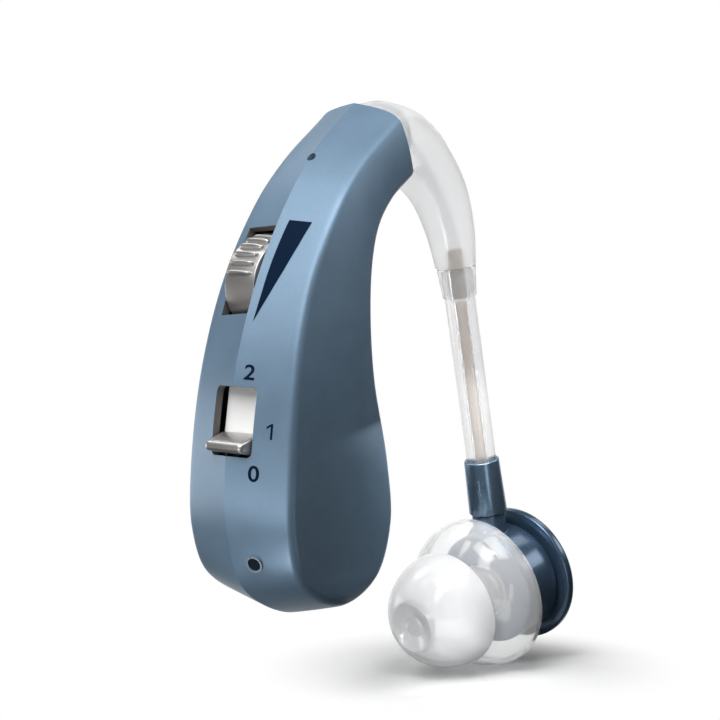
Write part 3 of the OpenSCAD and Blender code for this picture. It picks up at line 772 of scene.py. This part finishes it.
class HEARING_AID_OT_wheel(bpy.types.Operator):
    """Builds the ribbed volume wheel"""
    bl_idname = "hearing_aid.wheel"
    bl_label = "Volume wheel"

    def execute(self, context):
        settings = context.scene.aid_controls
        width, over_ribs = settings.wheel_w / MM, settings.wheel_d / MM / 2
        radius = over_ribs - RIB_H
        matrix = (shifted(on_rim(WHEEL_AT), y=0.15, z=0.8 - over_ribs)
                  @ Matrix.Rotation(math.radians(-90), 4, "X"))
        rim = lathe("wheel_rim", filleted([
            (AXLE_R, 0, 0), (radius, 0, 0.1), (radius, width, 0.1), (HUB_R, width, 0.05),
            (HUB_R, width - HUB_DEPTH, 0), (AXLE_R, width - HUB_DEPTH, 0)]), matrix, 144)
        ribs = []
        steps, sides = 12, 14
        for i in range(settings.rib_count):
            turned = matrix @ Matrix.Rotation(math.radians(FIRST_RIB) + i * settings.rib_pitch,
                                              4, "Z")
            rings = []
            for k in range(steps + 1):
                f = k / steps
                reach = max(0.02, math.sin(math.pi * f)) ** 0.14
                rings.append([turned @ (Vector((radius + RIB_H * reach * math.cos(a),
                                                RIB_HALF_W * reach * math.sin(a),
                                                RIB_BACK + RIB_L * f)) * MM)
                              for a in (2 * math.pi * m / sides for m in range(sides))])
            ribs.append(loft("rib", rings, sharp=80))
        wheel = join("volume_wheel_ribbed", [rim] + ribs)
        dress(wheel, silver_paint(), "wheel", "wheel_silver", "volume_wheel")
        return {"FINISHED"}


class HEARING_AID_OT_switch(bpy.types.Operator):
    """Builds the sliding tab with its shutter"""
    bl_idname = "hearing_aid.switch"
    bl_label = "Mode switch"

    def execute(self, context):
        matrix = shifted(on_rim(SWITCH_AT), x=TAB_REST)
        # Height, lower edge, upper edge, half width and corner of each section of the tab
        levels = ((SHUTTER_TOP, -0.95, 0.95, TAB_SIDE, 0.2), (-1.5, -0.93, 0.88, TAB_SIDE, 0.25),
                  (-0.9, -0.9, 0.62, TAB_SIDE, 0.3), (-0.35, -0.86, 0.36, TAB_SIDE, 0.3),
                  (0.05, -0.82, 0.16, 2.24, 0.32), (0.28, -0.76, 0.0, 2.16, 0.3),
                  (0.41, -0.65, -0.12, 2.02, 0.24), (0.45, -0.52, -0.24, 1.85, 0.12))
        rings = [[matrix @ (Vector((x, y, height)) * MM)
                  for x, y in rectangle(low, -side, high, side, corner, 5)]
                 for height, low, high, side, corner in levels]
        tab = loft("switch_tab", rings, sharp=50)
        dress(tab, silver_paint(), "switch", "tab_silver", "mode_switch")
        white = finish("shutter_white", context.scene.aid_controls.shutter, 0.45, mottle=0.03,
                       bump=0.01, IOR=1.46)
        plate = rectangle(-0.95, -TAB_SIDE, 5, TAB_SIDE, 0.1, 3)
        post = rectangle(-0.45, -0.45, 0.45, 0.45, 0.08, 3)
        for name, outline, low, high in (
                ("switch_shutter", plate, SHUTTER_FLOOR, SHUTTER_TOP),
                ("switch_stem", post, STEM_FLOOR, SHUTTER_FLOOR + 0.05)):
            piece = prism(matrix, outline, low, high)
            piece.name = name
            dress(piece, white, "switch", "switch_nylon")
        return {"FINISHED"}


def glassy(name, colour, rough, ior, mottle=0.02, spread=0.02):
    """A clear or milky plastic."""
    return finish(name, colour, rough, mottle=mottle, bump=0.0, spread=spread, IOR=ior,
                  Transmission_Weight=0.85)


def milky():
    return glassy("milky_plastic", bpy.context.scene.aid_hook.milk, 0.32, 1.3)


def joint_mark(u, inset, edge):
    """A point of the hook joint's outline: u runs 0 to 14 from the spine to the belly."""
    half = math.hypot(RIM[-1][0] - RIM[0][0], RIM[-1][1] - RIM[0][1]) / 2
    if u <= 5:
        depth, side = profile(RIM[0], u, inset, edge)
        return depth - half, side
    if u >= 9:
        depth, side = profile(RIM[-1], 14 - u, inset, edge)
        return half - depth, side
    f = (u - 5) / 4
    a, b = profile(RIM[0], 5, inset, edge), profile(RIM[-1], 5, inset, edge)
    return ((a[0] - half) * (1 - f) + (half - b[0]) * f,
            a[1] * (1 - f) + b[1] * f + 0.25 * 4 * f * (1 - f))


class HEARING_AID_OT_hook(bpy.types.Operator):
    """Builds the milky ear hook"""
    bl_idname = "hearing_aid.hook"
    bl_label = "Ear hook"

    def execute(self, context):
        edge = context.scene.aid_housing.edge_round / MM
        lean = math.radians(TUBE_LEAN)
        r = HOOK_END_D / 2
        first = (RIM[0][0] + CHORD.x * HOOK_INSET, RIM[0][1] + CHORD.z * HOOK_INSET,
                 RIM[-1][0] - CHORD.x * HOOK_INSET, RIM[-1][1] - CHORD.z * HOOK_INSET,
                 RIM[0][2] - HOOK_INSET)
        last = (TUBE_TOP[0] + math.cos(lean) * r, TUBE_TOP[1] + math.sin(lean) * r,
                TUBE_TOP[0] - math.cos(lean) * r, TUBE_TOP[1] - math.sin(lean) * r, r)
        path = (first, *HOOK_ROWS, last)
        half_cols, steps = 42, 14
        marks = [joint_mark(14 * k / half_cols, HOOK_INSET, edge) for k in range(half_cols + 1)]
        marks += [(x, -y) for x, y in reversed(marks[1:-1])]
        top, side = -marks[0][0], max(y for x, y in marks)
        count = len(marks)
        rings, bores = [], []
        for i in range((len(path) - 1) * steps + 1):
            t = i / steps
            row = smooth(path, t)
            middle = Vector(((row[0] + row[2]) / 2, 0, (row[1] + row[3]) / 2))
            reach = Vector((row[2], 0, row[3])) - middle
            down = reach.normalized()
            k = min(1, t / 3)
            share = k * k * (3 - 2 * k)
            ring, bore = [], []
            for m in range(count):
                a = 2 * math.pi * m / count
                x = marks[m][0] / top * (1 - share) - math.cos(a) * share
                y = marks[m][1] / side * (1 - share) + math.sin(a) * share
                ring.append((middle + reach * x + Vector((0, y * row[4], 0))) * MM)
                bore.append((middle - down * math.cos(a) * HOOK_BORE / 2
                             + Vector((0, math.sin(a) * HOOK_BORE / 2, 0))) * MM)
            rings.append(ring)
            bores.append(bore)
        rings += list(reversed(bores)) + [rings[0]]
        hook = loft("ear_hook_milky", rings, closed_ends=False)
        nipple_d = context.scene.aid_hook.tube_bore / MM
        cut(hook, [prism(on_joint(), circle(3.4, 64), -1, 2.7),
                   prism(on_tube(0), circle(nipple_d), -NIPPLE_IN, 1)])
        dress(hook, milky(), "housing", "hook", "ear_hook")
        recolour("hook_adapter", milky())
        recolour("tube_nipple", finish("beige_nylon", (0.70, 0.62, 0.54), 0.45, IOR=1.46))
        return {"FINISHED"}


def clear_tube():
    return glassy("clear_tube", bpy.context.scene.aid_hook.clear, 0.08, 1.41, 0.01, 0.01)


class HEARING_AID_OT_tube(bpy.types.Operator):
    """Builds the clear sound tube, its collar and the blue sleeve"""
    bl_idname = "hearing_aid.tube"
    bl_label = "Sound tube"

    def execute(self, context):
        settings = context.scene.aid_hook
        outer, bore = settings.tube_d / MM / 2, settings.tube_bore / MM / 2
        lumen, end = settings.lumen / MM / 2, TUBE_L + SLEEVE_IN
        tube = lathe("sound_tube", filleted([
            (bore + 0.01, 0.2, 0), (outer, 0.2, 0.05), (outer, end, 0.05), (lumen, end, 0),
            (lumen, 3.6, 0.3), (bore + 0.01, 3.02, 0.1)]), on_tube(0), 96)
        dress(tube, clear_tube(), "housing", "tube", "acoustic_tube")
        lining = lathe("tube_lining", [(lumen - 0.01, 3.7), (lumen - 0.01, end - 0.1),
                                       (lumen - 0.05, end - 0.1), (lumen - 0.05, 3.7)],
                       on_tube(0), 96)
        haze = glassy("beige_haze", (0.96, 0.90, 0.85), 0.35, 1.15, 0.03, 0.05)
        dress(lining, haze, "housing", "tube")
        collar = lathe("tube_cuff", filleted([
            (outer + 0.01, 0, 0), (1.85, 0, 0.12), (1.6, 2.8, 0.12), (outer + 0.01, 2.8, 0)]),
            shifted(on_tube(0), z=0.15), 96)
        soft = glassy("collar_haze", (0.97, 0.97, 0.97), 0.22, 1.15, spread=0.05)
        dress(collar, soft, "housing", "tube", "tube_collar")
        sleeve = lathe("blue_sleeve", filleted([
            (1.19, SLEEVE_IN, 0), (outer, SLEEVE_IN, 0), (outer, 0, 0.12), (1.675, 0, 0.16),
            (1.825, SLEEVE_L, 0.08), (1.19, SLEEVE_L, 0.08)]), on_tube(TUBE_L), 96)
        satin = finish("sleeve_blue", (0.26, 0.40, 0.55), 0.28, mottle=0.08, bump=0.01,
                       Metallic=0.9, IOR=1.45)
        dress(sleeve, satin, "housing", "housing", "tube_sleeve")
        return {"FINISHED"}


def gloss_blue():
    return finish("gloss_blue", bpy.context.scene.aid_ear.gloss_blue, 0.28, mottle=0.06,
                  bump=0.01, spread=0.03, Metallic=0.6, IOR=1.5, Coat_Weight=0.5,
                  Coat_Roughness=0.10)


class HEARING_AID_OT_ear_piece(bpy.types.Operator):
    """Builds the ear piece: chamber, stem and rear cap"""
    bl_idname = "hearing_aid.ear_piece"
    bl_label = "Ear piece"

    def execute(self, context):
        settings = context.scene.aid_ear
        r, cap = settings.chamber_d / MM / 2, settings.cap_d / MM / 2
        drum = lathe("chamber", filleted([
            (r - 1, -2.4, 0), (r, -2.4, 0.2), (r, 2, 0.35), (1.7, 2, 0), (1.7, 1, 0),
            (r - 1, 1, 0)]), on_ear(), 144)
        stem = lathe("stem", filleted([
            (0.65, -STEM_L, 0), (SPIGOT_R, -STEM_L, 0.1), (SPIGOT_R, 0, 0), (STEM_R, 0, 0.08),
            (STEM_R, STEM_L, 0), (0.65, STEM_L, 0)]), on_tube(TUBE_L + SLEEVE_L + 0.1), 96)
        path = []
        root_r, steps = STEM_R + 0.02, 72
        for k in range(steps):
            a = 2 * math.pi * k / steps
            y = root_r * math.sin(a)
            drop = EAR_DROP - math.sqrt(r * r - y * y) - 0.02
            path.append(on_tube(0) @ (Vector((root_r * math.cos(a), y, drop)) * MM))
        body = join("ear_piece_blue", [drum, stem, bead("stem_root", path, 0.12)])
        dress(body, gloss_blue(), "earpiece", "earpiece", "earpiece_body")
        rear = lathe("rear_cap", filleted([
            (0, -3.3, 0), (cap - 1.6, -3.7, 0.6), (cap, -3.7, 0.4), (cap, -2.75, 0.18),
            (cap - 0.6, -2.75, 0.1), (4.7, -2.9, 0.1), (4.7, -2.41, 0), (4.3, -2.41, 0),
            (4.3, -1.8, 0.1), (0, -1.8, 0)]), on_ear(), 144)
        dress(rear, gloss_blue(), "earpiece", "earpiece", "earpiece_cap")
        recolour("nozzle", milky())
        recolour("wax_guard", finish("guard_white", (0.8, 0.8, 0.78), 0.5, IOR=1.46))
        return {"FINISHED"}


def silicone(name, rough, ior, transmission):
    """Silicone with a wet gloss."""
    return finish(name, bpy.context.scene.aid_ear.silicone, rough, mottle=0.01, bump=0.0,
                  spread=0.02, IOR=ior, Transmission_Weight=transmission, Coat_Weight=1.0,
                  Coat_Roughness=0.03, Coat_IOR=1.45)


def dome(radius, rim_at, length, end, steps=40):
    """A quarter of an ellipse from the rim up to the radius at its end."""
    last = math.acos(end / radius)
    return [(radius * math.cos(last * i / steps), rim_at + length * math.sin(last * i / steps))
            for i in range(steps + 1)]


class HEARING_AID_OT_ear_tip(bpy.types.Operator):
    """Builds the silicone ear tip with its two domes"""
    bl_idname = "hearing_aid.ear_tip"
    bl_label = "Ear tip"

    def execute(self, context):
        settings = context.scene.aid_ear
        core, bore, front, outlet = 2.5, 1.75, 2.4, 0.9
        outline = [(bore, 2.7), (core, 2.7)]
        for diameter, rim_at, length, end in (
                (settings.large_dome_d, LARGE_RIM, 5.6, core),
                (settings.small_dome_d, SMALL_RIM, 6.2, front)):
            radius = diameter / MM / 2
            outline += reversed(dome(radius - DOME_T, rim_at, length - DOME_T, core))
            outline += [(radius - DOME_T / 2, rim_at - 0.08)]
            outline += dome(radius, rim_at, length, end)
        top = outline[-1][1]
        outline += [(2.3, top + 0.01), (2.2, top - 0.05), (1.0, top - 0.42),
                    (outlet, top - 0.6), (outlet, 8.1), (bore, 8.1)]
        tip = lathe("ear_tip_clear", outline, on_ear(), 144, sharp=60)
        dress(tip, silicone("clear_silicone", 0.12, 1.1, 0.75), "tip", "tip", "ear_tip")
        tip.data.materials.append(silicone("milky_silicone", 0.50, 1.05, 0.5))
        along = on_ear().inverted()
        for polygon in tip.data.polygons:
            spot = along @ polygon.center / MM
            if spot.z > SMALL_RIM - 0.05 and math.hypot(spot.x, spot.y) > outlet + 0.05:
                polygon.material_index = 1
        return {"FINISHED"}


class HEARING_AID_OT_fittings(bpy.types.Operator):
    """Gives the small parts that show through the openings their finishes"""
    bl_idname = "hearing_aid.fittings"
    bl_label = "Small parts"

    def execute(self, context):
        steel = finish("bright_steel", (0.60, 0.61, 0.63), 0.25, mottle=0.05, Metallic=1.0)
        rubber = finish("black_rubber", (0.02, 0.02, 0.022), 0.6, mottle=0.15)
        white = finish("switch_white", (0.72, 0.72, 0.70), 0.5)
        board = finish("board_green", (0.02, 0.12, 0.05), 0.35, mottle=0.2, scale=1500.0)
        chip = finish("chip_black", (0.015, 0.015, 0.017), 0.4)
        amber = finish("light_clear", (0.75, 0.72, 0.62), 0.3, IOR=1.45)
        chrome = finish("bezel_satin", (0.30, 0.36, 0.42), 0.35, mottle=0.04, Metallic=0.7)
        lens = finish("lens_dark", (0.010, 0.018, 0.034), 0.08, mottle=0.05, bump=0.0,
                      spread=0.01, IOR=1.5, Coat_Weight=0.6, Coat_Roughness=0.03)
        for names, material in (
                (("wheel_screw", "switch_pins", "microphone", "battery", "battery_leads",
                  "receiver"), steel),
                (("volume_control", "mic_gasket", "charging_socket", "receiver_cushion"), rubber),
                (("switch_body",), white), (("circuit_board",), board), (("board_chips",), chip),
                (("indicator_led",), amber), (("indicator_bezel",), chrome),
                (("indicator_lens",), lens), (("receiver_tube",), clear_tube())):
            for name in names:
                recolour(name, material)
        return {"FINISHED"}


def softbox(name, direction, distance, width, height, power, slide, aim):
    """A rectangular light at a distance in metres, aimed at a point of the aid in millimetres."""
    target = Vector(aim) * MM
    data = bpy.data.lights.new(name, "AREA")
    data.shape = "RECTANGLE"
    data.size, data.size_y = width, height
    data.energy = power
    lamp = bpy.data.objects.new(name, data)
    bpy.context.scene.collection.objects.link(lamp)
    away = Vector(direction).normalized() * distance
    turn = away.to_track_quat("Z", "Y")
    lamp.location = target + away + turn @ Vector((slide, 0, 0))
    lamp.rotation_mode = "QUATERNION"
    lamp.rotation_quaternion = turn
    return lamp


def is_ray(tree, kind):
    """1 for the rays of one kind."""
    return tree.nodes.new("ShaderNodeLightPath").outputs["Is " + kind + " Ray"]


def seen_light(tree):
    """1 for rays from the camera and for reflected or refracted ones."""
    first = math_node(tree, "MAXIMUM", is_ray(tree, "Camera"), is_ray(tree, "Glossy"))
    return math_node(tree, "MAXIMUM", first, is_ray(tree, "Transmission"))


def far_from_aid(tree):
    """0 near the aid, where the floor takes its shadow, to 1 where it fades into the backdrop."""
    spot = tree.nodes.new("ShaderNodeTexCoord").outputs["Object"]
    reach = measure(tree, "DISTANCE", spot, Vector((12, 0, 0)) * MM)
    return math_node(tree, "MAXIMUM", smooth_ramp(tree, reach, 9 * MM, 21 * MM),
                     is_ray(tree, "Transmission"))


def backdrop_level(tree, settings, direction, ahead):
    """1 for rays that run on to the backdrop, less beside it, down to a dim room for reflections."""
    facing = measure(tree, "DOT_PRODUCT", direction, ahead)
    reflected = smooth_ramp(tree, facing, 0.6, 1.0, settings.surround)
    refracted = smooth_ramp(tree, facing, -0.2, 0.7, settings.haze)
    seen = mix_value(tree, is_ray(tree, "Transmission"), reflected, refracted)
    return mix_value(tree, is_ray(tree, "Camera"), seen, 1.0)


def backdrop_strength(tree, settings, ahead):
    """The backdrop for the camera, reflections and glass, and the fill for the rest."""
    spot = tree.nodes.new("ShaderNodeTexCoord")
    level = backdrop_level(tree, settings, spot.outputs["Generated"], ahead)
    return mix_value(tree, seen_light(tree), settings.fill, level)


def floor_paint(settings, back):
    """Pale and matt near the aid, fading into the white of the backdrop."""
    paint = bpy.data.materials.new("pale_floor")
    paint.use_nodes = True
    tree = paint.node_tree
    tree.nodes.remove(tree.nodes["Principled BSDF"])
    ray = tree.nodes.new("ShaderNodeNewGeometry")
    level = backdrop_level(tree, settings, ray.outputs["Incoming"], back)
    shown = math_node(tree, "MULTIPLY", seen_light(tree), level)
    far = far_from_aid(tree)
    near = mix_colour(tree, shown, (0.06, 0.06, 0.06, 1), (*settings.floor, 1))
    matt = tree.nodes.new("ShaderNodeBsdfDiffuse")
    feed(tree, matt, {"Color": mix_colour(tree, far, near, (0, 0, 0, 1))})
    glow = tree.nodes.new("ShaderNodeEmission")
    strength = mix_value(tree, far, settings.floor_glow, 1.0)
    feed(tree, glow, {"Strength": math_node(tree, "MULTIPLY", shown, strength)})
    both = tree.nodes.new("ShaderNodeAddShader")
    feed(tree, both, {0: matt.outputs[0], 1: glow.outputs[0]})
    feed(tree, tree.nodes["Material Output"], {"Surface": both.outputs[0]})
    return paint


class HEARING_AID_OT_stage(bpy.types.Operator):
    """Sets the camera, the pale floor and the soft lights"""
    bl_idname = "hearing_aid.stage"
    bl_label = "Stage"

    def execute(self, context):
        scene = context.scene
        settings = scene.aid_stage
        scene.view_settings.view_transform = "Standard"
        a, e = settings.view_angle, settings.view_height
        back = Vector((math.sin(a) * math.cos(e), -math.cos(a) * math.cos(e), math.sin(e)))
        data = bpy.data.cameras.new("camera")
        data.sensor_width = 36
        data.lens = 128.08
        data.clip_start, data.clip_end = 0.01, 20
        camera = bpy.data.objects.new("camera", data)
        scene.collection.objects.link(camera)
        camera.location = Vector((-3.7, 0, 30.3)) * MM + back * settings.view_distance
        camera.rotation_mode = "QUATERNION"
        camera.rotation_quaternion = (-back).to_track_quat("-Z", "Y")
        scene.camera = camera

        world = bpy.data.worlds.new("studio")
        scene.world = world
        world.use_nodes = True
        tree = world.node_tree
        feed(tree, tree.nodes["Background"], {
            "Color": (1, 1, 1, 1), "Strength": backdrop_strength(tree, settings, -back)})

        size = 4.0
        floor = mesh_piece("floor", [Vector((-size, -size, 0)), Vector((size, -size, 0)),
                                     Vector((size, size, 0)), Vector((-size, size, 0))],
                           [(0, 1, 2, 3)])
        floor.data.materials.append(floor_paint(settings, back))

        for entry in LAMPS:
            lamp = softbox(*entry)
        # The last lamp, the bounce, stands in front of the ear tip
        lamp.visible_camera = False
        return {"FINISHED"}


class HEARING_AID_PT_panel(bpy.types.Panel):
    bl_label = "Hearing aid"
    bl_idname = "HEARING_AID_PT_panel"
    bl_space_type = "VIEW_3D"
    bl_region_type = "UI"
    bl_category = "Hearing aid"

    def draw(self, context):
        for name in SETTINGS:
            group = getattr(context.scene, name)
            for label in group.__annotations__:
                self.layout.prop(group, label)
        for operator in OPERATORS:
            self.layout.operator(operator.bl_idname)


SETTINGS = {"aid_housing": HousingSettings, "aid_controls": ControlSettings,
            "aid_hook": HookSettings, "aid_ear": EarPieceSettings, "aid_stage": StageSettings}
OPERATORS = (HEARING_AID_OT_stage, HEARING_AID_OT_housing, HEARING_AID_OT_marks,
             HEARING_AID_OT_wheel, HEARING_AID_OT_switch, HEARING_AID_OT_hook,
             HEARING_AID_OT_tube, HEARING_AID_OT_ear_piece, HEARING_AID_OT_ear_tip,
             HEARING_AID_OT_fittings)
CLASSES = (*SETTINGS.values(), *OPERATORS, HEARING_AID_PT_panel)


def register():
    for entry in CLASSES:
        bpy.utils.register_class(entry)
    for name, group in SETTINGS.items():
        setattr(bpy.types.Scene, name, PointerProperty(type=group))


def unregister():
    for name in SETTINGS:
        delattr(bpy.types.Scene, name)
    for entry in reversed(CLASSES):
        bpy.utils.unregister_class(entry)


def main():
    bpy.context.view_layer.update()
    register()
    bpy.ops.hearing_aid.stage()
    bpy.ops.hearing_aid.housing()
    bpy.ops.hearing_aid.marks()
    bpy.ops.hearing_aid.wheel()
    bpy.ops.hearing_aid.switch()
    bpy.ops.hearing_aid.hook()
    bpy.ops.hearing_aid.tube()
    bpy.ops.hearing_aid.ear_piece()
    bpy.ops.hearing_aid.ear_tip()
    bpy.ops.hearing_aid.fittings()


if __name__ == "__main__":
    main()
